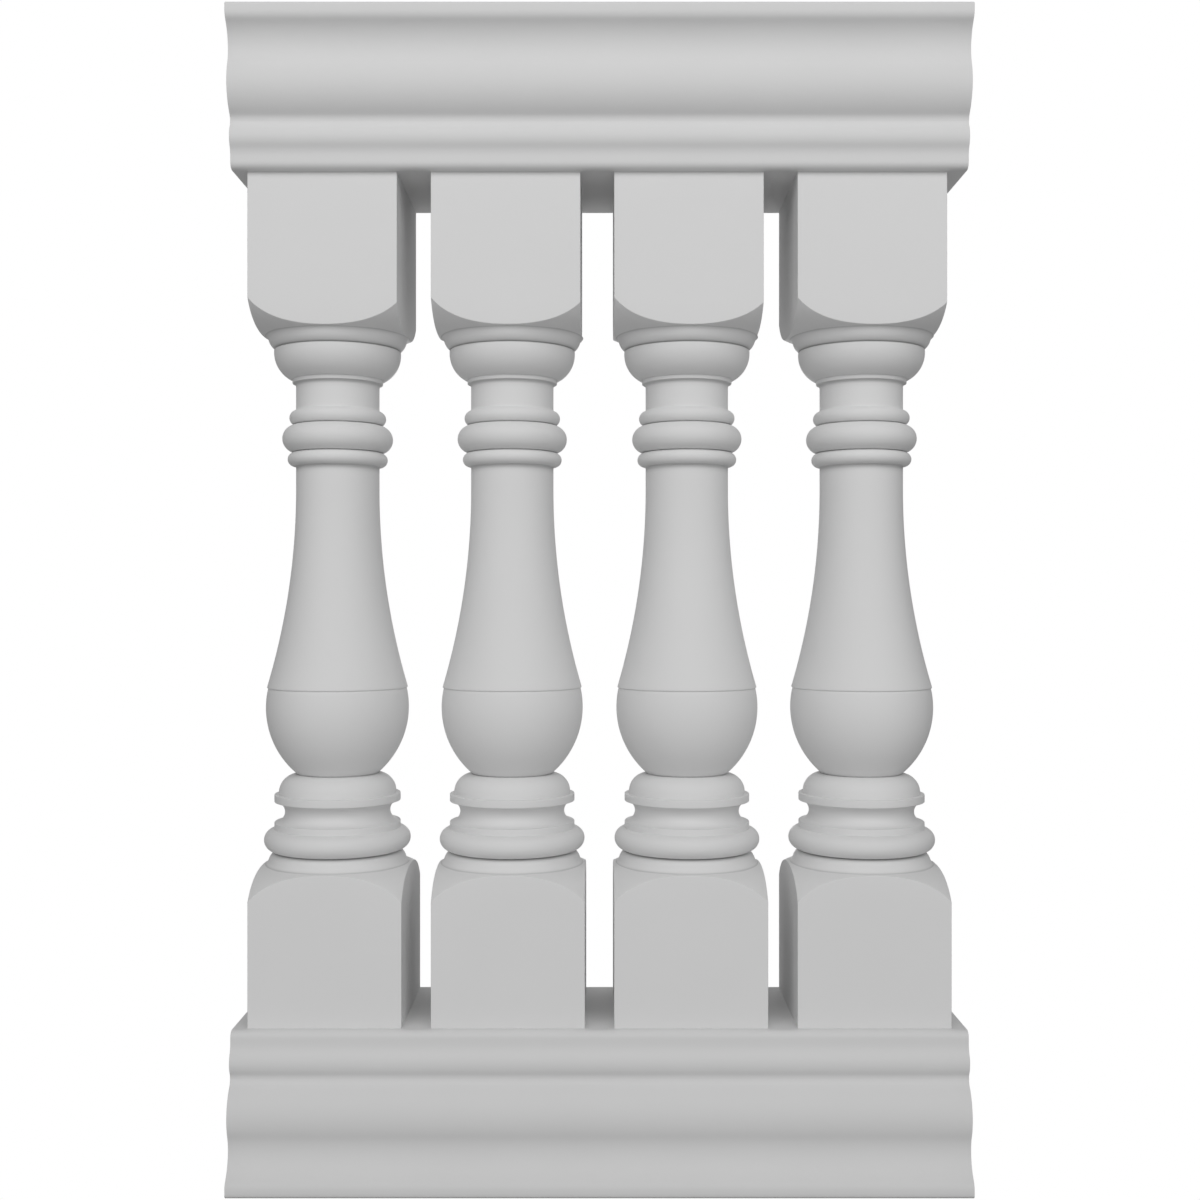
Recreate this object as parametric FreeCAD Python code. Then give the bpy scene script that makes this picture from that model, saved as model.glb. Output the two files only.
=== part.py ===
import FreeCAD, Part
import math
import os

from FreeCAD import Vector

# Deck railing section in the manner of a stone balustrade: two moulded rails and four turned balusters.
# Millimetres, X along the rails, Z up, front toward -Y.
# The origin is on the floor, under the middle of the bottom rail.

# Row of balusters
BALUSTER_COUNT = 4
BALUSTER_PITCH = 152.4
RAIL_END_REACH = 12.2

# Square blocks at the head and foot of each baluster
BLOCK_WIDTH = 128.0
BLOCK_STRAIGHT_HEIGHT = 104.25
UPPER_BLOCK_TRIM = 3.75
SHOULDER_RISE = 23.0
SHOULDER_RADIUS = 51.0
SHOULDER_FOOT_RADIUS = 62.0
BLOCK_RING_RADIUS = 59.2
BLOCK_RING_FOOT_RADIUS = 52.8
BLOCK_RING_FOOT_SLOPE = 63.0
BLOCK_RING_HEIGHT = 7.8
BLOCK_COVE_HEIGHT = 3.8

# Vase: bowl, collar, three rings, slender neck and flare down to the belly line
BOWL_RADIUS = 54.6
BOWL_BAND_HEIGHT = 2.6
BOWL_ROUND_HEIGHT = 23.0
BOWL_FOOT_RADIUS = 40.1
COLLAR_FILLET_RADIUS = 39.0
COLLAR_FILLET_HEIGHT = 3.3
NECK_RADIUS = 35.9
COLLAR_HEIGHT = 19.3
RING_COVE = 1.5
TOP_RING_RADIUS = 41.65
TOP_RING_HEIGHT = 12.2
TOP_GROOVE_RADIUS = 37.2
MIDDLE_RING_RADIUS = 47.65
MIDDLE_RING_HEIGHT = 23.85
LOWER_GROOVE_RADIUS = 37.4
LOWER_RING_RADIUS = 43.1
LOWER_RING_HEIGHT = 12.0
VASE_NECK_HEIGHT = 18.65
FLARE_HEIGHT = 171.8
BELLY_RADIUS = 60.65
BELLY_GROOVE_DEPTH = 1.1
BELLY_GROOVE_EDGE = 1.1

# Bulb below the belly line, with the base mouldings it stands on
BULB_RADIUS = 61.5
BULB_SHOULDER_HEIGHT = 15.2
BULB_LOWER_HEIGHT = 57.8
BULB_FOOT_RADIUS = 34.8
OVOLO_RADIUS = 50.45
OVOLO_HEIGHT = 14.4
OVOLO_CURVE = 15.8
OVOLO_RISER = 2.9
BASE_FILLET_RADIUS = 54.3
UPPER_FILLET_HEIGHT = 6.5
SCOTIA_RADIUS = 45.3
SCOTIA_HEIGHT = 17.6
LOWER_FILLET_HEIGHT = 5.6
TORUS_SETBACK = 0.9
TORUS_HEIGHT = 19.0
TORUS_FOOT_RADIUS = 54.6

# Rail moulding, from the face that meets the balusters to the far edge.
# Each member has its height and the distance that its end steps out from its start.
FRIEZE_REVEAL = 8.1
FRIEZE_EDGE_RADIUS = 6.0
FRIEZE_FACE_HEIGHT = 4.4
FRIEZE_COVE_HEIGHT = 8.5
FRIEZE_COVE_STEP = 2.4
BEAD_SWELL = 2.05
BEAD_FALL_HEIGHT = 8.5
BEAD_FALL_STEP = -2.55
QUIRK_HEIGHT = 10.0
QUIRK_STEP = 1.0
CYMA_BELLY_HEIGHT = 38.9
CYMA_BELLY_STEP = 7.2
CYMA_COVE_HEIGHT = 33.5
CYMA_COVE_STEP = 6.2
NOSE_STEP = 2.8
NOSE_BAND_HEIGHT = 4.55
NOSE_EDGE_RADIUS = 2.5

# Sizes that follow from the driving dimensions
AXIS_Z = Vector(0, 0, 1)
FULL_TURN = 360.0
QUARTER_TURN = math.pi / 2
BLOCK_HALF = BLOCK_WIDTH / 2
TORUS_RADIUS = BLOCK_HALF - TORUS_SETBACK
SHOULDER_START = BLOCK_RING_HEIGHT + BLOCK_COVE_HEIGHT
BLOCK_HEIGHT = SHOULDER_START + SHOULDER_RISE + BLOCK_STRAIGHT_HEIGHT
AXES_SPAN = (BALUSTER_COUNT - 1) * BALUSTER_PITCH
RAIL_LENGTH = AXES_SPAN + BLOCK_WIDTH + 2 * RAIL_END_REACH
FRIEZE_DEPTH = BLOCK_HALF + FRIEZE_REVEAL


class Outline:
    """A chain of lines and arcs in a plane, drawn upward from point to point.

    across is the distance from the axis or centre plane, up the height. A heading is the angle of the
    line of travel, taken from straight up toward the outside.
    """

    def __init__(self, across, up):
        self.across = across
        self.up = up
        self.heading = 0.0
        self.pieces = []

    def line_to(self, across, up):
        """Draw a straight line."""
        self.pieces.append(((self.across, self.up), None, (across, up)))
        self.across = across
        self.up = up

    def rise(self, height):
        """Draw straight up, which also leaves the heading upright."""
        self.line_to(self.across, self.up + height)
        self.heading = 0.0

    def arc_through(self, via, end):
        """Draw an arc through a middle point."""
        self.pieces.append(((self.across, self.up), via, end))
        self.across, self.up = end

    def flow_to(self, across, up):
        """Draw the arc that leaves along the present heading and ends at a point."""
        run = across - self.across
        climb = up - self.up
        slope = math.atan2(run, climb)
        sag = math.hypot(run, climb) / 2 * math.tan((slope - self.heading) / 2)
        via_across = self.across + run / 2 - sag * math.cos(slope)
        via_up = self.up + climb / 2 + sag * math.sin(slope)
        self.heading = 2 * slope - self.heading
        self.arc_through((via_across, via_up), (across, up))

    def flow_upright_to(self, across, up):
        """Draw the arc that arrives at a point going straight up."""
        self.heading = 2 * math.atan2(across - self.across, up - self.up)
        self.flow_to(across, up)

    def bulge_to(self, across, up, radius):
        """Draw an arc of a set radius that bows to the right of the line of travel."""
        run = across - self.across
        climb = up - self.up
        half_turn = math.asin(math.hypot(run, climb) / 2 / radius)
        self.heading = math.atan2(run, climb) + half_turn
        self.flow_to(across, up)

    def edges(self, place):
        """Give the chain as edges, with place turning a flat point into a point in space."""
        shapes = []
        for start, via, end in self.pieces:
            if via is None:
                curve = Part.LineSegment(place(*start), place(*end))
            else:
                curve = Part.Arc(place(*start), place(*via), place(*end))
            shapes.append(curve.toShape())
        return shapes


def turned(outline):
    """Spin an outline that starts and ends on the axis into a solid."""
    outline.line_to(0.0, 0.0)
    edges = outline.edges(lambda across, up: Vector(across, 0, up))
    face = Part.Face(Part.Wire(edges))
    return face.revolve(Vector(0, 0, 0), AXIS_Z, FULL_TURN)


def block(trim):
    """Square block with a turned shoulder and ring, standing on the ring's foot.

    The shoulder is an ovolo turned about the baluster's axis. It cuts each flat face along an arc and runs
    out at the block's corners. trim is taken off the right face.
    """
    corner = BLOCK_HALF * math.sqrt(2)
    run = corner - SHOULDER_FOOT_RADIUS
    chord = math.hypot(run, SHOULDER_RISE)
    offset = math.sqrt(SHOULDER_RADIUS ** 2 - (chord / 2) ** 2)
    centre_across = SHOULDER_FOOT_RADIUS + run / 2 - offset * SHOULDER_RISE / chord
    centre_up = SHOULDER_START + SHOULDER_RISE / 2 + offset * run / chord

    turning = Outline(0.0, 0.0)
    turning.line_to(BLOCK_RING_FOOT_RADIUS, 0.0)
    turning.heading = math.radians(BLOCK_RING_FOOT_SLOPE)
    turning.flow_to(BLOCK_RING_RADIUS, BLOCK_RING_HEIGHT)
    turning.flow_to(SHOULDER_FOOT_RADIUS, SHOULDER_START)
    half_angle = math.atan2(SHOULDER_START - centre_up, SHOULDER_FOOT_RADIUS - centre_across) / 2
    via_across = centre_across + SHOULDER_RADIUS * math.cos(half_angle)
    via_up = centre_up + SHOULDER_RADIUS * math.sin(half_angle)
    turning.arc_through((via_across, via_up), (centre_across + SHOULDER_RADIUS, centre_up))
    turning.line_to(turning.across, BLOCK_HEIGHT)
    turning.line_to(0.0, BLOCK_HEIGHT)

    blank = Part.makeBox(
        BLOCK_WIDTH - trim, BLOCK_WIDTH, BLOCK_HEIGHT, Vector(-BLOCK_HALF, -BLOCK_HALF, 0)
    )
    return blank.common(turned(turning)).Solids[0]


def vase():
    """Upper turning, standing on the belly line: flare, neck, three rings, collar and bowl."""
    outline = Outline(0.0, 0.0)
    outline.line_to(BELLY_RADIUS - BELLY_GROOVE_DEPTH, 0.0)
    outline.line_to(BELLY_RADIUS, BELLY_GROOVE_EDGE)
    outline.flow_upright_to(NECK_RADIUS, outline.up + FLARE_HEIGHT)
    outline.rise(VASE_NECK_HEIGHT)
    outline.flow_to(LOWER_GROOVE_RADIUS, outline.up + RING_COVE)
    rings = (
        (LOWER_RING_RADIUS, LOWER_RING_HEIGHT, LOWER_GROOVE_RADIUS),
        (MIDDLE_RING_RADIUS, MIDDLE_RING_HEIGHT, TOP_GROOVE_RADIUS),
        (TOP_RING_RADIUS, TOP_RING_HEIGHT, NECK_RADIUS + RING_COVE),
    )
    for radius, height, next_radius in rings:
        middle = outline.up + height / 2
        outline.arc_through((radius, middle), (next_radius, outline.up + height))
    outline.flow_upright_to(NECK_RADIUS, outline.up + RING_COVE)
    outline.rise(COLLAR_HEIGHT)
    cove = COLLAR_FILLET_RADIUS - NECK_RADIUS
    outline.flow_to(COLLAR_FILLET_RADIUS, outline.up + cove)
    outline.rise(COLLAR_FILLET_HEIGHT)
    outline.line_to(BOWL_FOOT_RADIUS, outline.up)
    outline.flow_upright_to(BOWL_RADIUS, outline.up + BOWL_ROUND_HEIGHT)
    outline.rise(BOWL_BAND_HEIGHT)
    outline.line_to(0.0, outline.up)
    height = outline.up
    return turned(outline), height


def bulb():
    """Lower turning, standing on its torus: torus, scotia between fillets, ovolo and bulb."""
    outline = Outline(0.0, 0.0)
    outline.line_to(TORUS_FOOT_RADIUS, 0.0)
    outline.arc_through((TORUS_RADIUS, TORUS_HEIGHT / 2), (BASE_FILLET_RADIUS, TORUS_HEIGHT))
    outline.rise(LOWER_FILLET_HEIGHT)
    scotia_middle = outline.up + SCOTIA_HEIGHT / 2
    outline.arc_through(
        (SCOTIA_RADIUS, scotia_middle), (BASE_FILLET_RADIUS, outline.up + SCOTIA_HEIGHT)
    )
    outline.rise(UPPER_FILLET_HEIGHT)
    outline.line_to(OVOLO_RADIUS, outline.up)
    outline.rise(OVOLO_RISER)
    outline.bulge_to(BULB_FOOT_RADIUS, outline.up + OVOLO_HEIGHT, OVOLO_CURVE)

    swell = BULB_RADIUS - BULB_FOOT_RADIUS
    bulb_curve = (swell ** 2 + BULB_LOWER_HEIGHT ** 2) / (2 * swell)
    widest = outline.up + BULB_LOWER_HEIGHT
    top = widest + BULB_SHOULDER_HEIGHT
    top_radius = BULB_RADIUS - bulb_curve + math.sqrt(bulb_curve ** 2 - BULB_SHOULDER_HEIGHT ** 2)
    outline.arc_through((BULB_RADIUS, widest), (top_radius, top))
    outline.line_to(BELLY_RADIUS - BELLY_GROOVE_DEPTH, top + BELLY_GROOVE_EDGE)
    outline.line_to(0.0, outline.up)
    height = outline.up
    return turned(outline), height


def rail_member(outline):
    """Mirror a half outline about the rail's centre plane and carry it along the rail's length."""
    right = outline.edges(lambda across, up: Vector(0, across, up))
    left = outline.edges(lambda across, up: Vector(0, -across, up))
    first = outline.pieces[0][0]
    last = outline.pieces[-1][2]
    foot = Part.LineSegment(Vector(0, -first[0], first[1]), Vector(0, first[0], first[1]))
    head = Part.LineSegment(Vector(0, -last[0], last[1]), Vector(0, last[0], last[1]))
    ring = [foot.toShape()] + right + [head.toShape()] + left[::-1]
    face = Part.Face(Part.Wire(ring))
    member = face.extrude(Vector(RAIL_LENGTH, 0, 0))
    member.translate(Vector(-RAIL_LENGTH / 2, 0, 0))
    return member


def rail():
    """Bed and cap of one rail, standing on the face that meets the balusters, and the rail's height.

    The moulding is one run of arcs that flow into each other. Bed and cap part at the deepest line of the
    quirk between the bead and the cyma, where the joint is out of sight.
    """
    bed = Outline(FRIEZE_DEPTH - FRIEZE_EDGE_RADIUS, 0.0)
    bed.heading = QUARTER_TURN
    bed.flow_to(FRIEZE_DEPTH, FRIEZE_EDGE_RADIUS)
    bed.rise(FRIEZE_FACE_HEIGHT)
    bed.flow_to(bed.across + FRIEZE_COVE_STEP, bed.up + FRIEZE_COVE_HEIGHT)
    bed.flow_to(bed.across + BEAD_SWELL, bed.up + BEAD_SWELL / math.tan(bed.heading / 2))
    bed.flow_to(bed.across + BEAD_FALL_STEP, bed.up + BEAD_FALL_HEIGHT)
    quirk_end = (bed.across + QUIRK_STEP, bed.up + QUIRK_HEIGHT)
    half_turn = math.atan2(QUIRK_STEP, QUIRK_HEIGHT) - bed.heading
    quirk_radius = math.hypot(QUIRK_STEP, QUIRK_HEIGHT) / 2 / math.sin(half_turn)
    joint_across = bed.across - quirk_radius * (1 - math.cos(bed.heading))
    joint_up = bed.up - quirk_radius * math.sin(bed.heading)
    bed.flow_to(joint_across, joint_up)

    cap = Outline(joint_across, joint_up)
    cap.flow_to(*quirk_end)
    cap.flow_to(cap.across + CYMA_BELLY_STEP, cap.up + CYMA_BELLY_HEIGHT)
    cap.flow_to(cap.across + CYMA_COVE_STEP, cap.up + CYMA_COVE_HEIGHT)
    nose_radius = NOSE_STEP / (1 - math.cos(cap.heading))
    cap.flow_to(cap.across + NOSE_STEP, cap.up + nose_radius * math.sin(cap.heading))
    cap.rise(NOSE_BAND_HEIGHT)
    cap.flow_to(cap.across - NOSE_EDGE_RADIUS, cap.up + NOSE_EDGE_RADIUS)
    return rail_member(bed), rail_member(cap), cap.up


def upside_down(shape):
    """Turn a piece over, end for end about the Y direction."""
    return shape.mirror(Vector(0, 0, 0), AXIS_Z)


def placed(shape, across, up):
    """Copy a piece to its place along the section and above the floor."""
    copy = shape.copy()
    copy.translate(Vector(across, 0, up))
    return copy


def build():
    """Make every piece of the section in its place, by name."""
    bed, cap, rail_height = rail()
    vase_turning, vase_height = vase()
    bulb_turning, bulb_height = bulb()
    upper_block = block(UPPER_BLOCK_TRIM)
    lower_block = upside_down(block(0.0))

    lower_joint = rail_height + BLOCK_HEIGHT
    belly_line = lower_joint + bulb_height
    upper_joint = belly_line + vase_height
    top_rail_face = upper_joint + BLOCK_HEIGHT

    pieces = {
        "bottom_rail_base": placed(upside_down(cap), 0, rail_height),
        "bottom_rail_bed": placed(upside_down(bed), 0, rail_height),
        "top_rail_bed": placed(bed, 0, top_rail_face),
        "top_rail_cap": placed(cap, 0, top_rail_face),
    }
    for number in range(BALUSTER_COUNT):
        axis = number * BALUSTER_PITCH - AXES_SPAN / 2
        name = f"baluster_{number + 1}"
        pieces[f"{name}_lower_block"] = placed(lower_block, axis, lower_joint)
        pieces[f"{name}_bulb"] = placed(bulb_turning, axis, lower_joint)
        pieces[f"{name}_vase"] = placed(vase_turning, axis, belly_line)
        pieces[f"{name}_upper_block"] = placed(upper_block, axis, upper_joint)
    return pieces


os.makedirs("parts", exist_ok=True)
for piece_name, piece in build().items():
    piece.exportStep(f"parts/{piece_name}.step")
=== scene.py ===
"""Looks of a deck railing section: eased mouldings and turnings in primed polyurethane, and their stage.

Shapes are worked out in millimetres, as the part's own drawing has them, and put into meshes in metres.
X runs along the rails, Z is up and the front faces -Y.
"""
import math

import bpy
import numpy as np
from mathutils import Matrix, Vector


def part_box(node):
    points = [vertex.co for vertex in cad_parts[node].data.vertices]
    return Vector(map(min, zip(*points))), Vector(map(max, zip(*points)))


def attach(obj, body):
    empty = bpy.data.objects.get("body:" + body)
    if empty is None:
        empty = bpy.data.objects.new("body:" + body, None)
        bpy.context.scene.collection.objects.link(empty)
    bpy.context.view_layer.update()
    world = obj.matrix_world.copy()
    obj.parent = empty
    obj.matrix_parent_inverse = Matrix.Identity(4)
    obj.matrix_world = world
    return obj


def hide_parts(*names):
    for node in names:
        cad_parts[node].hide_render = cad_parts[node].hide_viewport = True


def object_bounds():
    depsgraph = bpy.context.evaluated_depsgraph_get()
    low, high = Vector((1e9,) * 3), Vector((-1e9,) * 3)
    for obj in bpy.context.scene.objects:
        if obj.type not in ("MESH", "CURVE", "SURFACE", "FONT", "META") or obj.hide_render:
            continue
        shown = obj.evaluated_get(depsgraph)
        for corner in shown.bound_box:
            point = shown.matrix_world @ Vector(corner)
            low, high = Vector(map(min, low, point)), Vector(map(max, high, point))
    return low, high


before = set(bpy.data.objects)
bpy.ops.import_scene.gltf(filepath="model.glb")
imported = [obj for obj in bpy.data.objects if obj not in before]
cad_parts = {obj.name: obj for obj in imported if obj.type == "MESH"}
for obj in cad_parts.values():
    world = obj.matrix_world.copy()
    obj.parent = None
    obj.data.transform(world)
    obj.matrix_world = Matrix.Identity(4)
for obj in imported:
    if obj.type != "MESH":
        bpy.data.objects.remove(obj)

bl_info = {
    "name": "Deck railing section",
    "version": (1, 0, 0),
    "blender": (4, 5, 0),
    "location": "View3D > Sidebar > Railing",
    "description": "Dresses a packed deck railing section with eased mouldings, turnings and a stage",
    "category": "Object",
}

CAD_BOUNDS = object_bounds()
MM = 0.001
BODY = "root"

# Outline of the block's turned end, from the joint with the turning outward
RING_FOOT = 52.8
RING_FOOT_SLOPE = 63.0
RING = 59.2
RING_HEIGHT = 7.8
SHOULDER_FOOT = 62.0
COVE_HEIGHT = 3.8
SHOULDER_RISE = 23.0
SHOULDER_CURVE = 51.0

# Outline of the vase, from the belly line up
BELLY = 60.65
BELLY_GROOVE = 1.1
BELLY_GROOVE_EDGE = 1.1
FLARE_HEIGHT = 171.8
NECK = 35.9
NECK_HEIGHT = 18.65
RING_COVE = 1.5
LOWER_RING = 43.1
LOWER_RING_HEIGHT = 12.0
LOWER_GROOVE = 37.4
MIDDLE_RING = 47.65
MIDDLE_RING_HEIGHT = 23.85
TOP_GROOVE = 37.2
TOP_RING = 41.65
TOP_RING_HEIGHT = 12.2
COLLAR_HEIGHT = 19.3
COLLAR_FILLET = 39.0
COLLAR_FILLET_HEIGHT = 3.3
BOWL_FOOT = 40.1
BOWL_ROUND_HEIGHT = 23.0
BOWL = 54.6
BOWL_RIM = 1.0

# Outline of the bulb and its base mouldings, from the joint with the block up
TORUS_FOOT = 54.6
TORUS = 63.1
TORUS_HEIGHT = 19.0
BASE_FILLET = 54.3
LOWER_FILLET_HEIGHT = 5.6
SCOTIA = 45.3
SCOTIA_HEIGHT = 17.6
UPPER_FILLET_HEIGHT = 6.5
OVOLO = 50.45
OVOLO_RISER = 2.9
OVOLO_HEIGHT = 14.4
OVOLO_CURVE = 15.8
BULB_FOOT = 34.8
BULB = 61.5
BULB_LOWER_HEIGHT = 57.8
BULB_SHOULDER_HEIGHT = 15.2

# Rail moulding, from the face that meets the balusters: a pair is a member's outward step and its height
FRIEZE_EDGE = 6.0
FRIEZE_DEPTH = 72.1
FRIEZE_FACE_HEIGHT = 4.4
FRIEZE_COVE = (2.4, 8.5)
BEAD_SWELL = 2.05
BEAD_FALL = (-2.55, 8.5)
QUIRK = (1.0, 10.0)
CYMA_BELLY = (7.2, 38.9)
CYMA_COVE = (6.2, 33.5)
NOSE_STEP = 2.8
NOSE_EDGE = 2.5
NOSE_FLAT = 8.0

# Stage: the floor, the main light's width and height and its place from the railing's middle, in metres
FLOOR_REACH = 6.0
MAIN_LIGHT_SIZE = (5.0, 1.5)
MAIN_LIGHT_PLACE = (0.0, -2.2, 1.6)
WHITE = (1.0, 1.0, 1.0, 1.0)

# Spread of the light from straight behind, in degrees
BACK_LIGHT_SPREAD = 3.0

# Camera: sensor width in millimetres, nearest and farthest view in metres
SENSOR_WIDTH = 36.0
NEAREST_VIEW = 0.01
FARTHEST_VIEW = 100.0

# Dried primer: how its clouding and orange peel break up, how its gloss varies, and how it mirrors light
CLOUD_DETAIL = 3.0
CLOUD_BREAKUP = 0.55
PEEL_DETAIL = 2.0
PEEL_BREAKUP = 0.5
PEEL_STRENGTH = 0.35
ROUGHNESS_SPREAD = 0.05
PRIMER_IOR = 1.5
PRIMER_SPECULAR = 0.3

# Numbers of the Mix node's colour sockets, which have the same names as its other sockets
MIX_FIRST = 6
MIX_SECOND = 7
MIX_RESULT = 2

# Curve of sRGB: the end and slope of its straight foot, and the offset and power of the rest
SRGB_FULL = 255.0
SRGB_FOOT_END = 0.04045
SRGB_FOOT_SLOPE = 12.92
SRGB_OFFSET = 0.055
SRGB_POWER = 2.4

# Painted shade in the creases and painted shadow at the floor: its reach along the outline, share and how
# far back it lies
SHARP_CREASE = (0.8, 1.0)
JOINT_CREASE = (1.4, 0.9)
FAINT_CREASE = (0.8, 0.5)
SOFT_CREASE = (1.6, 0.5, 2.4)
FLOOR_SHADOW = (2.3, 1.0)
CREASE_SHADE = "crease_shade"

# How finely shapes are sampled
OUTLINE_STEP = 0.1
LONGEST_STEP = 3.0
CREASE_STEP = 0.6
POINTS_PER_RADIAN = 3.5
RIM_POINTS = 6

# Reaches that an average spans each way, the least turn of an arc, and a sharp edge's angle in degrees
AVERAGE_SPAN = 3.0
LEAST_TURN = 1e-9
SHARP_ANGLE = 40.0


def linear(hex_colour):
    """Turn an sRGB hex colour into linear red, green and blue.

    A channel is divided by the foot's slope up to the foot's end. Above it, the offset is added, the sum is
    divided by one plus the offset and raised to the power.
    """
    channels = np.array([int(hex_colour[i:i + 2], 16) for i in (1, 3, 5)]) / SRGB_FULL
    upper = ((channels + SRGB_OFFSET) / (1.0 + SRGB_OFFSET)) ** SRGB_POWER
    curve = np.where(channels <= SRGB_FOOT_END, channels / SRGB_FOOT_SLOPE, upper)
    return tuple(float(channel) for channel in curve)


def box_mm(node):
    """Give a CAD node's lowest and highest corners in millimetres."""
    low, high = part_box(node)
    return np.array(low) / MM, np.array(high) / MM


class Outline:
    """A chain of straight and round stretches in a plane, drawn upward and sampled at an even step.

    across is the distance from the axis or centre plane and up the height. The heading is the angle of the
    line of travel, from straight up toward the outside.
    """

    def __init__(self, across, up, heading=0.0):
        """Start at a point, straight upward unless a heading is given."""
        self.across = across
        self.up = up
        self.heading = heading
        self.stretches = [np.array([[across, up]])]
        self.creases = []

    def _add(self, across, up, length):
        """Add a stretch whose points are two functions of the share of its length, at an even step."""
        count = max(2, int(math.ceil(length / OUTLINE_STEP)) + 1)
        share = np.linspace(0.0, 1.0, count)[1:]
        points = np.stack([across(share), up(share)], axis=1)
        self.stretches.append(points)
        self.across, self.up = points[-1]

    def line_to(self, across, up):
        """Straight stretch: start plus share times the way to the end."""
        start_across, start_up = self.across, self.up
        length = math.hypot(across - start_across, up - start_up)
        self._add(
            lambda share: start_across + share * (across - start_across),
            lambda share: start_up + share * (up - start_up),
            length,
        )

    def rise(self, height):
        """Straight stretch upward, which leaves the heading upright."""
        self.line_to(self.across, self.up + height)
        self.heading = 0.0

    def flow_to(self, across, up):
        """Arc that leaves along the heading: its turn is twice the angle from the heading to the chord.

        Its radius is half the chord divided by the sine of half the turn.
        """
        run = across - self.across
        climb = up - self.up
        chord = math.hypot(run, climb)
        slope = math.atan2(run, climb)
        first = self.heading
        turn = 2.0 * (slope - first)
        if abs(turn) < LEAST_TURN:
            self.line_to(across, up)
            return
        radius = chord / 2.0 / math.sin(turn / 2.0)
        start_across, start_up = self.across, self.up
        self._add(
            lambda share: start_across + radius * (math.cos(first) - np.cos(first + share * turn)),
            lambda share: start_up + radius * (np.sin(first + share * turn) - math.sin(first)),
            abs(radius * turn),
        )
        self.heading = first + turn

    def flow_upright_to(self, across, up):
        """Arc that arrives going straight up, so it leaves at twice the chord's angle."""
        self.heading = 2.0 * math.atan2(across - self.across, up - self.up)
        self.flow_to(across, up)

    def bulge_to(self, across, up, radius):
        """Arc of a set radius that bows to the right of the line of travel.

        It leaves at the chord's angle plus the one whose sine is half the chord divided by the radius.
        """
        run = across - self.across
        climb = up - self.up
        self.heading = math.atan2(run, climb) + math.asin(math.hypot(run, climb) / 2.0 / radius)
        self.flow_to(across, up)

    def through(self, via, end):
        """Arc through a middle point, from the circle on which all three points lie."""
        start = np.array([self.across, self.up])
        ways = np.array([np.subtract(via, start), np.subtract(end, start)])
        centre = start + np.linalg.solve(2.0 * ways, (ways ** 2).sum(axis=1))
        spokes = np.array([start, via, end]) - centre
        angles = np.arctan2(spokes[:, 1], spokes[:, 0])
        side = np.sign(np.cross(ways[0], ways[1]))
        turn = side * np.mod(side * (angles[2] - angles[0]), 2.0 * math.pi)
        radius = np.hypot(*spokes[0])
        self._add(
            lambda share: centre[0] + radius * np.cos(angles[0] + share * turn),
            lambda share: centre[1] + radius * np.sin(angles[0] + share * turn),
            abs(radius * turn),
        )

    def crease_shade(self, reach, share, back=0.0):
        """Mark a line of painted crease shade, a little way back from the present end."""
        place = sum(len(stretch) for stretch in self.stretches) - 1 - int(round(back / OUTLINE_STEP))
        self.creases.append((place, reach, share))

    def points(self, easing):
        """Give the eased outline, with each point's share of painted crease shade as a third column."""
        drawn = np.concatenate(self.stretches)
        return spaced(eased(drawn, easing), crease_shares(drawn, self.creases))


def crease_shares(points, creases):
    """Give each point the largest of the creases' shares there.

    A crease gives its share times exp(-distance squared / (2 reach squared)), by distance along the outline.
    """
    steps = np.diff(points, axis=0)
    along = np.concatenate([[0.0], np.cumsum(np.hypot(steps[:, 0], steps[:, 1]))])
    shares = np.zeros(len(points))
    for place, reach, share in creases:
        shares = np.maximum(shares, share * np.exp(-(along - along[place]) ** 2 / (2.0 * reach ** 2)))
    return shares


def eased(points, reach):
    """Soften an outline's arrises, as a coat of primer does, and leave its hollows sharp.

    The outline is averaged along its length with weights exp(-distance squared / (2 reach squared)). Each
    point then moves only as far as its average lies inward of it, against the normal on the right of the
    line of travel. The ends are mirrored through the end points, so that they stay where they are.
    """
    width = int(math.ceil(AVERAGE_SPAN * reach / OUTLINE_STEP))
    offsets = np.arange(-width, width + 1) * OUTLINE_STEP
    weights = np.exp(-offsets ** 2 / (2.0 * reach ** 2))
    weights /= weights.sum()
    before = 2.0 * points[0] - points[width:0:-1]
    after = 2.0 * points[-1] - points[-2:-width - 2:-1]
    padded = np.concatenate([before, points, after])
    average = np.stack([np.convolve(padded[:, axis], weights, mode="valid") for axis in (0, 1)], axis=1)
    along = np.gradient(average, axis=0)
    lengths = np.hypot(along[:, 0], along[:, 1])
    outward = np.stack([along[:, 1], -along[:, 0]], axis=1) / lengths[:, None]
    inward = np.minimum(np.einsum("ij,ij->i", average - points, outward), 0.0)
    return points + inward[:, None] * outward


def spaced(points, creases):
    """Resample an outline so that points gather where it bends and where a crease lies.

    Points per millimetre are one over the longest step, plus the crease's share over the crease's step, plus
    the bend per millimetre times the points per radian.
    """
    steps = np.diff(points, axis=0)
    lengths = np.hypot(steps[:, 0], steps[:, 1])
    headings = np.unwrap(np.arctan2(steps[:, 1], steps[:, 0]))
    bends = np.abs(np.gradient(headings))
    fineness = 1.0 / LONGEST_STEP + creases[1:] / CREASE_STEP
    weight = np.concatenate([[0.0], np.cumsum(lengths * fineness + bends * POINTS_PER_RADIAN)])
    wanted = np.linspace(0.0, weight[-1], int(math.ceil(weight[-1])) + 1)
    columns = (points[:, 0], points[:, 1], creases)
    return np.stack([np.interp(wanted, weight, column) for column in columns], axis=1)


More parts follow.
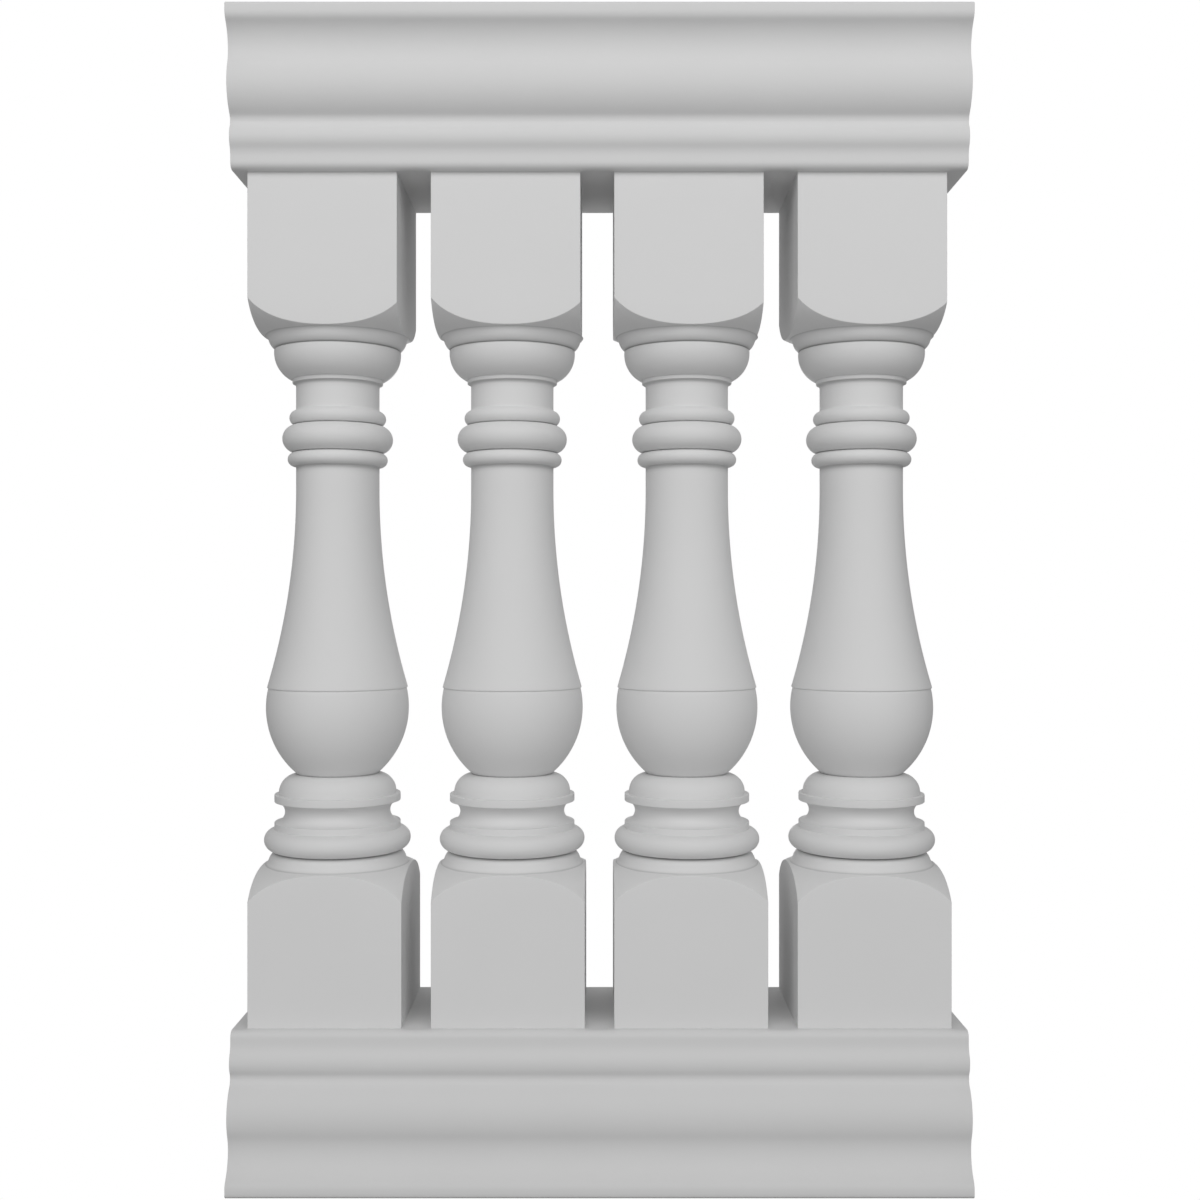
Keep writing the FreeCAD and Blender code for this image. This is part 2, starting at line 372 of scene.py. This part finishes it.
def skin(name, rings, first_pole, last_pole, creases=0.0):
    """Make a closed mesh from rings of points, each joined to the next, with a fan of faces at each end.

    rings has one row for each ring and wraps round within a row. Faces are turned outward by the sign of the
    volume that they enclose, the sum over triangles of one corner times the cross product of the others.
    Each point's share of painted crease shade goes into an attribute.
    """
    rows, columns, _ = rings.shape
    grid = np.arange(rows * columns).reshape(rows, columns)
    turned = np.roll(grid, -1, axis=1)
    quads = np.stack([grid[:-1], turned[:-1], turned[1:], grid[1:]], axis=-1).reshape(-1, 4)
    first = np.full(columns, rows * columns)
    last = first + 1
    fans = np.concatenate([
        np.stack([first, turned[0], grid[0]], axis=-1),
        np.stack([last, grid[-1], turned[-1]], axis=-1),
    ])
    points = np.concatenate([rings.reshape(-1, 3), [first_pole], [last_pole]]) * MM
    triangles = np.concatenate([quads[:, :3], quads[:, [0, 2, 3]], fans])
    corners = points[triangles]
    volume = np.einsum("ij,ij->", corners[:, 0], np.cross(corners[:, 1], corners[:, 2]))
    if volume < 0.0:
        quads = quads[:, ::-1]
        fans = fans[:, ::-1]
    mesh = bpy.data.meshes.new(name)
    mesh.from_pydata(points.tolist(), [], quads.tolist() + fans.tolist())
    mesh.set_sharp_from_angle(angle=math.radians(SHARP_ANGLE))
    mesh.polygons.foreach_set("use_smooth", np.arange(len(mesh.polygons)) < len(quads))
    # Painted shade: each point's share of darkening in the creases, where shade falls
    shares = np.zeros(len(points))
    shares[:rows * columns] = np.broadcast_to(creases, (rows, columns)).reshape(-1)
    mesh.attributes.new(CREASE_SHADE, "FLOAT", "POINT").data.foreach_set("value", shares)
    mesh.update()
    return mesh


def place(name, mesh, node, slot, material):
    """Put a mesh into the scene in place of its CAD node."""
    piece = bpy.data.objects.new(name, mesh)
    bpy.context.scene.collection.objects.link(piece)
    mesh.materials.append(material)
    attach(piece, BODY)
    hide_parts(node)
    return piece


def baluster_numbers():
    """List the numbers of the balusters that the frame holds."""
    names = [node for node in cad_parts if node.endswith("_vase")]
    return sorted(int(name.split("_")[1]) for name in names)


def baluster_axis(number):
    """Give where a baluster's axis stands along the rails and across them, in millimetres."""
    low, high = box_mm(f"baluster_{number}_vase")
    return (low + high)[:2] / 2.0


def turned_mesh(name, outline, axis, foot, sides):
    """Spin an outline about an upright axis: x and y are the axis plus radius times cosine and sine."""
    angles = np.arange(sides) * 2.0 * math.pi / sides
    radius = outline[:, 0:1]
    height = np.broadcast_to(foot + outline[:, 1:2], (len(outline), sides))
    along = axis[0] + radius * np.cos(angles)
    across = axis[1] + radius * np.sin(angles)
    rings = np.stack([along, across, height], axis=-1)
    return skin(name, rings, (*axis, height[0, 0]), (*axis, height[-1, 0]), outline[:, 2:3])


def vase_outline(height, easing):
    """Flare, neck, three rings, collar and bowl, from the belly line up.

    Flare, coves and bowl are arcs that start or end upright. Each ring is an arc through its widest point.
    """
    outline = Outline(BELLY - BELLY_GROOVE, 0.0)
    outline.line_to(BELLY, BELLY_GROOVE_EDGE)
    outline.flow_upright_to(NECK, outline.up + FLARE_HEIGHT)
    outline.rise(NECK_HEIGHT)
    outline.flow_to(LOWER_GROOVE, outline.up + RING_COVE)
    # Painted shade in the creases marked from here on, where shade falls
    outline.crease_shade(*SOFT_CREASE)
    rings = (
        (LOWER_RING, LOWER_RING_HEIGHT, LOWER_GROOVE),
        (MIDDLE_RING, MIDDLE_RING_HEIGHT, TOP_GROOVE),
    )
    for radius, ring_height, next_radius in rings:
        outline.through((radius, outline.up + ring_height / 2.0), (next_radius, outline.up + ring_height))
        outline.crease_shade(*SHARP_CREASE)
    ring_end = (NECK + RING_COVE, outline.up + TOP_RING_HEIGHT)
    outline.through((TOP_RING, outline.up + TOP_RING_HEIGHT / 2.0), ring_end)
    outline.flow_upright_to(NECK, outline.up + RING_COVE)
    outline.rise(COLLAR_HEIGHT)
    outline.flow_to(COLLAR_FILLET, outline.up + COLLAR_FILLET - NECK)
    outline.crease_shade(*SOFT_CREASE)
    outline.rise(COLLAR_FILLET_HEIGHT)
    outline.line_to(BOWL_FOOT, outline.up)
    outline.flow_upright_to(BOWL, outline.up + BOWL_ROUND_HEIGHT)
    outline.rise(height - BOWL_RIM - outline.up)
    outline.flow_to(BOWL - BOWL_RIM, height)
    outline.crease_shade(*SHARP_CREASE)
    return outline.points(easing)


def bulb_outline(height, easing):
    """Torus, scotia between two fillets, ovolo and bulb, from the lower block up to the belly line.

    Torus and scotia are arcs through their widest and narrowest points. The bulb's radius of curve is its
    swell squared plus its lower height squared, over twice the swell.
    """
    outline = Outline(TORUS_FOOT, 0.0)
    # Painted shade in the creases at the joint with the block and at the bulb's foot
    outline.crease_shade(*SHARP_CREASE)
    outline.through((TORUS, TORUS_HEIGHT / 2.0), (BASE_FILLET, TORUS_HEIGHT))
    outline.rise(LOWER_FILLET_HEIGHT)
    outline.through((SCOTIA, outline.up + SCOTIA_HEIGHT / 2.0), (BASE_FILLET, outline.up + SCOTIA_HEIGHT))
    outline.rise(UPPER_FILLET_HEIGHT)
    outline.line_to(OVOLO, outline.up)
    outline.rise(OVOLO_RISER)
    outline.bulge_to(BULB_FOOT, outline.up + OVOLO_HEIGHT, OVOLO_CURVE)
    outline.crease_shade(*FAINT_CREASE)
    swell = BULB - BULB_FOOT
    curve = (swell ** 2 + BULB_LOWER_HEIGHT ** 2) / (2.0 * swell)
    widest = outline.up + BULB_LOWER_HEIGHT
    top_radius = BULB - curve + math.sqrt(curve ** 2 - BULB_SHOULDER_HEIGHT ** 2)
    outline.through((BULB, widest), (top_radius, widest + BULB_SHOULDER_HEIGHT))
    outline.line_to(BELLY - BELLY_GROOVE, height)
    return outline.points(easing)


def rounded_rectangle(left, right, front, back, radius, per_side, per_corner):
    """Points round a rectangle with rounded corners, counted the same way round as the angle grows.

    A corner is its centre plus the radius times cosine and sine over a quarter turn, and a side is even
    shares of the way from one corner to the next.
    """
    corner_turn = np.linspace(0.0, math.pi / 2.0, per_corner)
    side_share = np.linspace(0.0, 1.0, per_side + 2)[1:-1, None]
    centres = np.array([
        (right - radius, back - radius),
        (left + radius, back - radius),
        (left + radius, front + radius),
        (right - radius, front + radius),
    ])
    corners = []
    for index, centre in enumerate(centres):
        angles = corner_turn + index * math.pi / 2.0
        corners.append(centre + radius * np.stack([np.cos(angles), np.sin(angles)], axis=1))
    chain = []
    for index, corner in enumerate(corners):
        following = corners[(index + 1) % len(corners)]
        chain.append(corner)
        chain.append(corner[-1] + side_share * (following[0] - corner[-1]))
    return np.concatenate(chain)


def block_mesh(name, node, axis, joint, shape):
    """Square block whose end is cut by a turned shoulder.

    Each column of points stands at the angle of one point of the block's plan. It climbs the ring, follows
    the shoulder's circle out to the plan's own radius there, and then goes straight on to the block's far
    end. So the arc on each flat face is a line of the grid. The arris between shoulder and face is a small
    parabola.
    """
    low, high = box_mm(node)
    plan = rounded_rectangle(
        low[0] - axis[0], high[0] - axis[0], low[1] - axis[1], high[1] - axis[1],
        shape.arris_radius / MM, shape.block_columns, RIM_POINTS,
    )
    angles = np.arctan2(plan[:, 1], plan[:, 0])
    reach = np.hypot(plan[:, 0], plan[:, 1])
    height = high[2] - low[2]
    half = (high[1] - low[1]) / 2.0

    ring = Outline(RING_FOOT, 0.0, heading=math.radians(RING_FOOT_SLOPE))
    # Painted shade in the creases at the joint with the turning and at the shoulder's foot
    ring.crease_shade(*JOINT_CREASE)
    ring.flow_to(RING, RING_HEIGHT)
    ring.flow_to(SHOULDER_FOOT, RING_HEIGHT + COVE_HEIGHT)
    ring.crease_shade(*FAINT_CREASE)
    ring_points = ring.points(shape.easing / MM)

    run = half * math.sqrt(2.0) - SHOULDER_FOOT
    chord = math.hypot(run, SHOULDER_RISE)
    offset = math.sqrt(SHOULDER_CURVE ** 2 - (chord / 2.0) ** 2)
    centre_across = SHOULDER_FOOT + run / 2.0 - offset * SHOULDER_RISE / chord
    centre_up = ring.up + SHOULDER_RISE / 2.0 + offset * run / chord
    start_angle = math.atan2(ring.up - centre_up, SHOULDER_FOOT - centre_across)
    end_angle = -np.arccos((reach - centre_across) / SHOULDER_CURVE)
    soft = shape.arris_radius / MM
    rim_angle = end_angle - soft / SHOULDER_CURVE
    share = np.linspace(0.0, 1.0, shape.shoulder_rows)[1:, None]
    turn = start_angle + share * (rim_angle - start_angle)
    shoulder_across = centre_across + SHOULDER_CURVE * np.cos(turn)
    shoulder_up = centre_up + SHOULDER_CURVE * np.sin(turn)
    shoulder = np.stack([shoulder_across, shoulder_up], axis=-1)

    rim = np.stack([reach, centre_up + SHOULDER_CURVE * np.sin(end_angle)], axis=-1)
    above = rim + np.array([0.0, soft])
    share = np.linspace(0.0, 1.0, RIM_POINTS)[1:, None, None]
    arris = (1.0 - share) ** 2 * shoulder[-1] + 2.0 * share * (1.0 - share) * rim + share ** 2 * above
    share = np.linspace(0.0, 1.0, shape.face_rows)[1:, None, None]
    far = np.stack([reach, np.full_like(reach, height)], axis=-1)
    face = above + share * (far - above)

    columns = np.broadcast_to(ring_points[:, None, :2], (len(ring_points), len(plan), 2))
    rows = np.concatenate([columns, shoulder, arris, face])
    creases = np.zeros((len(rows), 1))
    creases[:len(ring_points)] = ring_points[:, 2:3]
    way = 1.0 if joint < (low[2] + high[2]) / 2.0 else -1.0
    rings = np.stack([
        axis[0] + rows[..., 0] * np.cos(angles),
        axis[1] + rows[..., 0] * np.sin(angles),
        joint + way * rows[..., 1],
    ], axis=-1)
    return skin(name, rings, (*axis, joint), (*axis, joint + way * height), creases)


def rail_outlines(cap_height, easing):
    """Half outlines of a rail's bed and cap, from the face that meets the balusters.

    The moulding is one run of arcs that flow into each other. Bed and cap part at the deepest line of the
    quirk, where its arc stands upright.
    """
    bed = Outline(FRIEZE_DEPTH - FRIEZE_EDGE, 0.0, heading=math.pi / 2.0)
    bed.flow_to(FRIEZE_DEPTH, FRIEZE_EDGE)
    bed.rise(FRIEZE_FACE_HEIGHT)
    bed.flow_to(bed.across + FRIEZE_COVE[0], bed.up + FRIEZE_COVE[1])
    bed.flow_to(bed.across + BEAD_SWELL, bed.up + BEAD_SWELL / math.tan(bed.heading / 2.0))
    bed.flow_to(bed.across + BEAD_FALL[0], bed.up + BEAD_FALL[1])
    quirk_end = (bed.across + QUIRK[0], bed.up + QUIRK[1])
    quirk_turn = math.atan2(*QUIRK) - bed.heading
    quirk_curve = math.hypot(*QUIRK) / 2.0 / math.sin(quirk_turn)
    joint_across = bed.across - quirk_curve * (1.0 - math.cos(bed.heading))
    joint_up = bed.up - quirk_curve * math.sin(bed.heading)
    bed.flow_to(joint_across, joint_up)

    cap = Outline(joint_across, joint_up)
    cap.flow_to(*quirk_end)
    for step, height in (CYMA_BELLY, CYMA_COVE):
        cap.flow_to(cap.across + step, cap.up + height)
    nose_curve = NOSE_STEP / (1.0 - math.cos(cap.heading))
    cap.flow_to(cap.across + NOSE_STEP, cap.up + nose_curve * math.sin(cap.heading))
    cap.rise(joint_up + cap_height - NOSE_EDGE - cap.up)
    cap.flow_to(cap.across - NOSE_EDGE, cap.up + NOSE_EDGE)
    # Painted contact shadow along the edge that meets the floor
    cap.crease_shade(*FLOOR_SHADOW)
    cap.line_to(cap.across - NOSE_FLAT, cap.up)
    return bed.points(easing), cap.points(easing)


def rail_mesh(name, node, outline, joint, way, painted_floor_shadow, shape):
    """Carry a closed section along the rail.

    The section is the half outline and its mirror image. At each end it draws in along its own normals by a
    quarter circle, radius times one minus the sine, so that the end's arris is rounded. A rail with the
    painted floor shadow gets that painted shadow along its creases, short of the end faces.
    """
    low, high = box_mm(node)
    half = outline[:, :2]
    section = np.concatenate([half, half[::-1] * np.array([-1.0, 1.0])])
    along = np.roll(section, -1, axis=0) - np.roll(section, 1, axis=0)
    normals = np.stack([along[:, 1], -along[:, 0]], axis=1)
    normals /= np.hypot(normals[:, 0], normals[:, 1])[:, None]
    soft = shape.arris_radius / MM
    turn = np.linspace(0.0, math.pi / 2.0, RIM_POINTS)
    inset = soft * (1.0 - np.sin(turn))
    entry = soft * (1.0 - np.cos(turn))
    middle = np.linspace(low[0] + soft, high[0] - soft, shape.rail_stations + 2)[1:-1]
    stations = np.concatenate([low[0] + entry, middle, (high[0] - entry)[::-1]])
    insets = np.concatenate([inset, np.zeros_like(middle), inset[::-1]])
    loops = section[None] - insets[:, None, None] * normals[None]
    across = np.broadcast_to(stations[:, None], loops.shape[:2])
    rings = np.stack([across, loops[..., 0], joint + way * loops[..., 1]], axis=-1)
    creases = np.zeros(loops.shape[:2])
    # Only the base gets its painted contact shadow along the floor edge
    if painted_floor_shadow:
        creases[1:-1] = np.concatenate([outline[:, 2], outline[::-1, 2]])
    middle_up = joint + way * (outline[0, 1] + outline[-1, 1]) / 2.0
    return skin(name, rings, (low[0], 0.0, middle_up), (high[0], 0.0, middle_up), creases)


def add_node(tree, kind, inputs=None, **settings):
    """Add a node, set its settings and fill its inputs with values or links from other nodes' outputs."""
    node = tree.nodes.new(kind)
    for key, value in settings.items():
        setattr(node, key, value)
    for key, value in (inputs or {}).items():
        if isinstance(value, bpy.types.NodeSocket):
            tree.links.new(value, node.inputs[key])
        else:
            node.inputs[key].default_value = value
    return node


def primed_polyurethane(name, finish, dark, light):
    """Rigid polyurethane moulding under a coat of sprayed primer.

    The dense moulded skin is smooth. The primer dries matte with a fine orange peel, and its thickness
    varies a little over the length of a hand, which shows as the faintest clouding. The colour is darkened
    in the creases: painted shade, where shade falls.
    """
    material = bpy.data.materials.new(name)
    material.use_nodes = True
    tree = material.node_tree
    tree.nodes.clear()
    place_in_piece = add_node(tree, "ShaderNodeTexCoord").outputs["Object"]
    clouding = add_node(
        tree, "ShaderNodeTexNoise",
        {
            "Vector": place_in_piece,
            "Scale": 1.0 / finish.cloud_size,
            "Detail": CLOUD_DETAIL,
            "Roughness": CLOUD_BREAKUP,
        },
    ).outputs["Fac"]
    colour = add_node(
        tree, "ShaderNodeMix",
        {"Factor": clouding, MIX_FIRST: (*dark, 1.0), MIX_SECOND: (*light, 1.0)},
        data_type="RGBA",
    ).outputs[MIX_RESULT]
    # Painted shade: the colour is darkened toward the crease colour where the crease share is high
    crease_shade = add_node(tree, "ShaderNodeAttribute", attribute_name=CREASE_SHADE).outputs["Fac"]
    shaded = add_node(
        tree, "ShaderNodeMix",
        {"Factor": crease_shade, MIX_FIRST: colour, MIX_SECOND: (*finish.crease_shade, 1.0)},
        data_type="RGBA",
    ).outputs[MIX_RESULT]
    peel = add_node(
        tree, "ShaderNodeTexNoise",
        {
            "Vector": place_in_piece,
            "Scale": 1.0 / finish.peel_size,
            "Detail": PEEL_DETAIL,
            "Roughness": PEEL_BREAKUP,
        },
    ).outputs["Fac"]
    roughness = add_node(
        tree, "ShaderNodeMapRange",
        {
            "Value": clouding,
            "To Min": finish.roughness - ROUGHNESS_SPREAD,
            "To Max": finish.roughness + ROUGHNESS_SPREAD,
        },
    ).outputs["Result"]
    bump = add_node(
        tree, "ShaderNodeBump",
        {"Height": peel, "Strength": PEEL_STRENGTH, "Distance": finish.peel_height},
    ).outputs["Normal"]
    shader = add_node(
        tree, "ShaderNodeBsdfPrincipled",
        {
            "Base Color": shaded,
            "Roughness": roughness,
            "Normal": bump,
            "IOR": PRIMER_IOR,
            "Specular IOR Level": PRIMER_SPECULAR,
        },
    )
    add_node(tree, "ShaderNodeOutputMaterial", {"Surface": shader.outputs["BSDF"]})
    return material


class RailingShape(bpy.types.PropertyGroup):
    """How finely the surfaces are drawn and how much their edges are eased."""

    easing: bpy.props.FloatProperty(
        name="Easing", description="Reach over which primer softens arrises",
        default=0.35 * MM, min=0.1 * MM, unit="LENGTH", precision=5,
    )
    arris_radius: bpy.props.FloatProperty(
        name="Arris radius", description="Rounding of the blocks' corners and the rails' ends",
        default=0.5 * MM, min=0.1 * MM, unit="LENGTH", precision=5,
    )
    sides: bpy.props.IntProperty(
        name="Sides", description="Points round a turning", default=144, min=24,
    )
    block_columns: bpy.props.IntProperty(
        name="Block columns", description="Points along each flat side of a block", default=34, min=4,
    )
    shoulder_rows: bpy.props.IntProperty(
        name="Shoulder rows", description="Points up a block's shoulder", default=20, min=4,
    )
    face_rows: bpy.props.IntProperty(
        name="Face rows", description="Points up a block's flat faces", default=8, min=2,
    )
    rail_stations: bpy.props.IntProperty(
        name="Rail stations", description="Sections between the two ends of a rail", default=14, min=1,
    )


class RailingFinish(bpy.types.PropertyGroup):
    """Colour and texture of the primed mouldings."""

    rail_light: bpy.props.FloatVectorProperty(
        name="Rail primer, light", description="Primer on the rails where it lies thickest",
        subtype="COLOR", size=3, min=0.0, max=1.0, default=linear("#dfdfdf"),
    )
    rail_dark: bpy.props.FloatVectorProperty(
        name="Rail primer, dark", description="Primer on the rails where it lies thinnest",
        subtype="COLOR", size=3, min=0.0, max=1.0, default=linear("#dbdbdb"),
    )
    baluster_light: bpy.props.FloatVectorProperty(
        name="Baluster primer, light", description="Primer on the balusters where it lies thickest",
        subtype="COLOR", size=3, min=0.0, max=1.0, default=linear("#e5e5e5"),
    )
    baluster_dark: bpy.props.FloatVectorProperty(
        name="Baluster primer, dark", description="Primer on the balusters where it lies thinnest",
        subtype="COLOR", size=3, min=0.0, max=1.0, default=linear("#e1e1e1"),
    )
    # Painted shade: the colour that the creases are darkened toward
    crease_shade: bpy.props.FloatVectorProperty(
        name="Creases", description="Primer in the creases, where it lies thin and dust stays",
        subtype="COLOR", size=3, min=0.0, max=1.0, default=linear("#a8a8a8"),
    )
    roughness: bpy.props.FloatProperty(
        name="Roughness", description="Roughness of the dry primer", default=0.65, min=0.0, max=1.0,
        subtype="FACTOR",
    )
    cloud_size: bpy.props.FloatProperty(
        name="Cloud size", description="Length over which the primer's thickness varies",
        default=90.0 * MM, min=1.0 * MM, unit="LENGTH",
    )
    peel_size: bpy.props.FloatProperty(
        name="Orange peel size", description="Spacing of the sprayed coat's fine bumps",
        default=1.6 * MM, min=0.1 * MM, unit="LENGTH", precision=5,
    )
    peel_height: bpy.props.FloatProperty(
        name="Orange peel height", description="Height of the sprayed coat's fine bumps",
        default=0.06 * MM, min=0.0, unit="LENGTH", precision=6,
    )


class RailingStage(bpy.types.PropertyGroup):
    """Camera, floor and light."""

    camera_distance: bpy.props.FloatProperty(
        name="Camera distance", description="From the camera to the plane of the balusters' axes",
        default=1.2850, min=0.1, unit="LENGTH",
    )
    camera_side: bpy.props.FloatProperty(
        name="Camera side", description="How far right of the middle the camera stands",
        default=0.0004, unit="LENGTH", precision=5,
    )
    camera_lens: bpy.props.FloatProperty(
        name="Lens", description="Focal length on a 36 mm sensor", default=44.1, min=1.0, unit="CAMERA",
    )
    surroundings: bpy.props.FloatProperty(
        name="Surroundings", description="Brightness of the studio at the sides", default=0.166, min=0.0,
    )
    soft_ends: bpy.props.FloatProperty(
        name="Soft ends", description="How much brighter the studio is straight in front and behind",
        default=0.531, min=0.0,
    )
    main_power: bpy.props.FloatProperty(
        name="Main light", description="Power of the wide soft light above the front",
        default=42.7, min=0.0, unit="POWER",
    )
    back_strength: bpy.props.FloatProperty(
        name="Back light", description="Strength of the even light from straight behind",
        default=0.2, min=0.0,
    )


class RAILING_OT_rails(bpy.types.Operator):
    """Make the beds and caps of both rails"""

    bl_idname = "railing.rails"
    bl_label = "Rails"

    def execute(self, context):
        shape = context.scene.railing_shape
        finish = context.scene.railing_finish
        material = primed_polyurethane(
            "primed polyurethane rail", finish, finish.rail_dark, finish.rail_light
        )
        low, high = box_mm("top_rail_cap")
        bed, cap = rail_outlines(high[2] - low[2], shape.easing / MM)
        top_face = box_mm("top_rail_bed")[0][2]
        bottom_face = box_mm("bottom_rail_bed")[1][2]
        # The last field says which rail gets the painted contact shadow along its floor edge
        members = (
            ("top_rail_cap", cap, top_face, 1.0, False),
            ("top_rail_bed", bed, top_face, 1.0, False),
            ("bottom_rail_bed", bed, bottom_face, -1.0, False),
            ("bottom_rail_base", cap, bottom_face, -1.0, True),
        )
        for node, outline, face, way, painted_floor_shadow in members:
            name = f"{node}_moulding"
            mesh = rail_mesh(name, node, outline, face, way, painted_floor_shadow, shape)
            place(name, mesh, node, "rail_moulding", material)
        return {"FINISHED"}


class RAILING_OT_turnings(bpy.types.Operator):
    """Make the vases and bulbs of all balusters"""

    bl_idname = "railing.turnings"
    bl_label = "Turnings"

    def execute(self, context):
        shape = context.scene.railing_shape
        finish = context.scene.railing_finish
        material = primed_polyurethane(
            "primed polyurethane turning", finish, finish.baluster_dark, finish.baluster_light
        )
        for number in baluster_numbers():
            axis = baluster_axis(number)
            for part, draw in (("vase", vase_outline), ("bulb", bulb_outline)):
                node = f"baluster_{number}_{part}"
                low, high = box_mm(node)
                outline = draw(high[2] - low[2], shape.easing / MM)
                name = f"{node}_turning"
                mesh = turned_mesh(name, outline, axis, low[2], shape.sides)
                place(name, mesh, node, "baluster_moulding", material)
        return {"FINISHED"}


class RAILING_OT_blocks(bpy.types.Operator):
    """Make the square blocks at the head and foot of all balusters"""

    bl_idname = "railing.blocks"
    bl_label = "Blocks"

    def execute(self, context):
        shape = context.scene.railing_shape
        finish = context.scene.railing_finish
        material = primed_polyurethane(
            "primed polyurethane block", finish, finish.baluster_dark, finish.baluster_light
        )
        for number in baluster_numbers():
            axis = baluster_axis(number)
            joints = {
                "upper_block": box_mm(f"baluster_{number}_vase")[1][2],
                "lower_block": box_mm(f"baluster_{number}_bulb")[0][2],
            }
            for part, joint in joints.items():
                node = f"baluster_{number}_{part}"
                name = f"{node}_moulding"
                mesh = block_mesh(name, node, axis, joint, shape)
                place(name, mesh, node, "baluster_moulding", material)
        return {"FINISHED"}


class RAILING_OT_stage(bpy.types.Operator):
    """Make the floor, the light and the camera"""

    bl_idname = "railing.stage"
    bl_label = "Stage"

    def execute(self, context):
        scene = context.scene
        stage = scene.railing_stage
        low, high = CAD_BOUNDS
        middle = (low[2] + high[2]) / 2.0

        # The floor shows white and sends no light onto the railing
        floor_mesh = bpy.data.meshes.new("floor")
        ways = ((-1.0, -1.0), (1.0, -1.0), (1.0, 1.0), (-1.0, 1.0))
        floor_corners = [(FLOOR_REACH * along, FLOOR_REACH * across, 0.0) for along, across in ways]
        floor_mesh.from_pydata(floor_corners, [], [tuple(range(len(floor_corners)))])
        floor = bpy.data.objects.new("floor", floor_mesh)
        scene.collection.objects.link(floor)
        floor_material = bpy.data.materials.new("pale floor")
        floor_material.use_nodes = True
        tree = floor_material.node_tree
        tree.nodes.clear()
        shader = add_node(tree, "ShaderNodeEmission", {"Color": WHITE, "Strength": 1.0})
        add_node(tree, "ShaderNodeOutputMaterial", {"Surface": shader.outputs["Emission"]})
        floor_mesh.materials.append(floor_material)
        floor.visible_diffuse = False
        floor.visible_glossy = False

        # The studio's brightness is the surroundings plus the soft ends times the direction's Y squared
        world = bpy.data.worlds.new("studio")
        scene.world = world
        world.use_nodes = True
        tree = world.node_tree
        tree.nodes.clear()
        direction = add_node(tree, "ShaderNodeTexCoord").outputs["Generated"]
        depth = add_node(tree, "ShaderNodeSeparateXYZ", {"Vector": direction}).outputs["Y"]
        square = add_node(
            tree, "ShaderNodeMath", {0: depth, 1: depth}, operation="MULTIPLY"
        ).outputs["Value"]
        level = add_node(
            tree, "ShaderNodeMath", {0: square, 1: stage.soft_ends, 2: stage.surroundings},
            operation="MULTIPLY_ADD",
        ).outputs["Value"]
        studio = add_node(
            tree, "ShaderNodeBackground", {"Color": WHITE, "Strength": level}
        ).outputs["Background"]
        backdrop = add_node(
            tree, "ShaderNodeBackground", {"Color": WHITE, "Strength": 1.0}
        ).outputs["Background"]
        seen = add_node(tree, "ShaderNodeLightPath").outputs["Is Camera Ray"]
        mix = add_node(tree, "ShaderNodeMixShader", {0: seen, 1: studio, 2: backdrop})
        add_node(tree, "ShaderNodeOutputWorld", {"Surface": mix.outputs["Shader"]})

        # The main light hangs above the front, faces the railing's middle and isn't seen itself
        main_data = bpy.data.lights.new("main light", "AREA")
        main_data.shape = "RECTANGLE"
        main_data.size, main_data.size_y = MAIN_LIGHT_SIZE
        main_data.energy = stage.main_power
        main_light = bpy.data.objects.new("main light", main_data)
        main_light.location = Vector((0.0, 0.0, middle)) + Vector(MAIN_LIGHT_PLACE)
        main_light.rotation_euler = (-Vector(MAIN_LIGHT_PLACE)).to_track_quat("-Z", "Y").to_euler()
        main_light.visible_camera = False
        scene.collection.objects.link(main_light)

        # The back light shines along -Y, so it reaches hardly anything that the front view shows
        back_data = bpy.data.lights.new("back light", "SUN")
        back_data.angle = math.radians(BACK_LIGHT_SPREAD)
        back_data.energy = stage.back_strength
        back_light = bpy.data.objects.new("back light", back_data)
        back_light.rotation_euler = (-math.pi / 2.0, 0.0, 0.0)
        scene.collection.objects.link(back_light)

        # The camera looks straight at the front from the railing's mid-height
        camera_data = bpy.data.cameras.new("camera")
        camera_data.lens = stage.camera_lens
        camera_data.sensor_width = SENSOR_WIDTH
        camera_data.clip_start = NEAREST_VIEW
        camera_data.clip_end = FARTHEST_VIEW
        camera = bpy.data.objects.new("camera", camera_data)
        camera.location = (stage.camera_side, -stage.camera_distance, middle)
        camera.rotation_euler = (math.pi / 2.0, 0.0, 0.0)
        scene.collection.objects.link(camera)
        scene.camera = camera
        scene.view_settings.view_transform = "Standard"
        return {"FINISHED"}


class RAILING_PT_panel(bpy.types.Panel):
    """Lists the railing's pieces and sizes"""

    bl_idname = "RAILING_PT_panel"
    bl_label = "Railing"
    bl_space_type = "VIEW_3D"
    bl_region_type = "UI"
    bl_category = "Railing"

    def draw(self, context):
        layout = self.layout
        for operator in OPERATORS:
            layout.operator(operator.bl_idname)
        for name, group in GROUPS.items():
            for key in group.__annotations__:
                layout.prop(getattr(context.scene, name), key)


OPERATORS = (RAILING_OT_rails, RAILING_OT_turnings, RAILING_OT_blocks, RAILING_OT_stage)
GROUPS = {"railing_shape": RailingShape, "railing_finish": RailingFinish, "railing_stage": RailingStage}


def register():
    """Register the settings, the operators and the panel."""
    for name, group in GROUPS.items():
        bpy.utils.register_class(group)
        setattr(bpy.types.Scene, name, bpy.props.PointerProperty(type=group))
    for operator in OPERATORS:
        bpy.utils.register_class(operator)
    bpy.utils.register_class(RAILING_PT_panel)


def unregister():
    """Take the panel, the operators and the settings out again."""
    bpy.utils.unregister_class(RAILING_PT_panel)
    for operator in reversed(OPERATORS):
        bpy.utils.unregister_class(operator)
    for name, group in reversed(GROUPS.items()):
        delattr(bpy.types.Scene, name)
        bpy.utils.unregister_class(group)


def main():
    """Make every piece and the stage."""
    register()
    bpy.ops.railing.rails()
    bpy.ops.railing.turnings()
    bpy.ops.railing.blocks()
    bpy.ops.railing.stage()


if __name__ == "__main__":
    main()
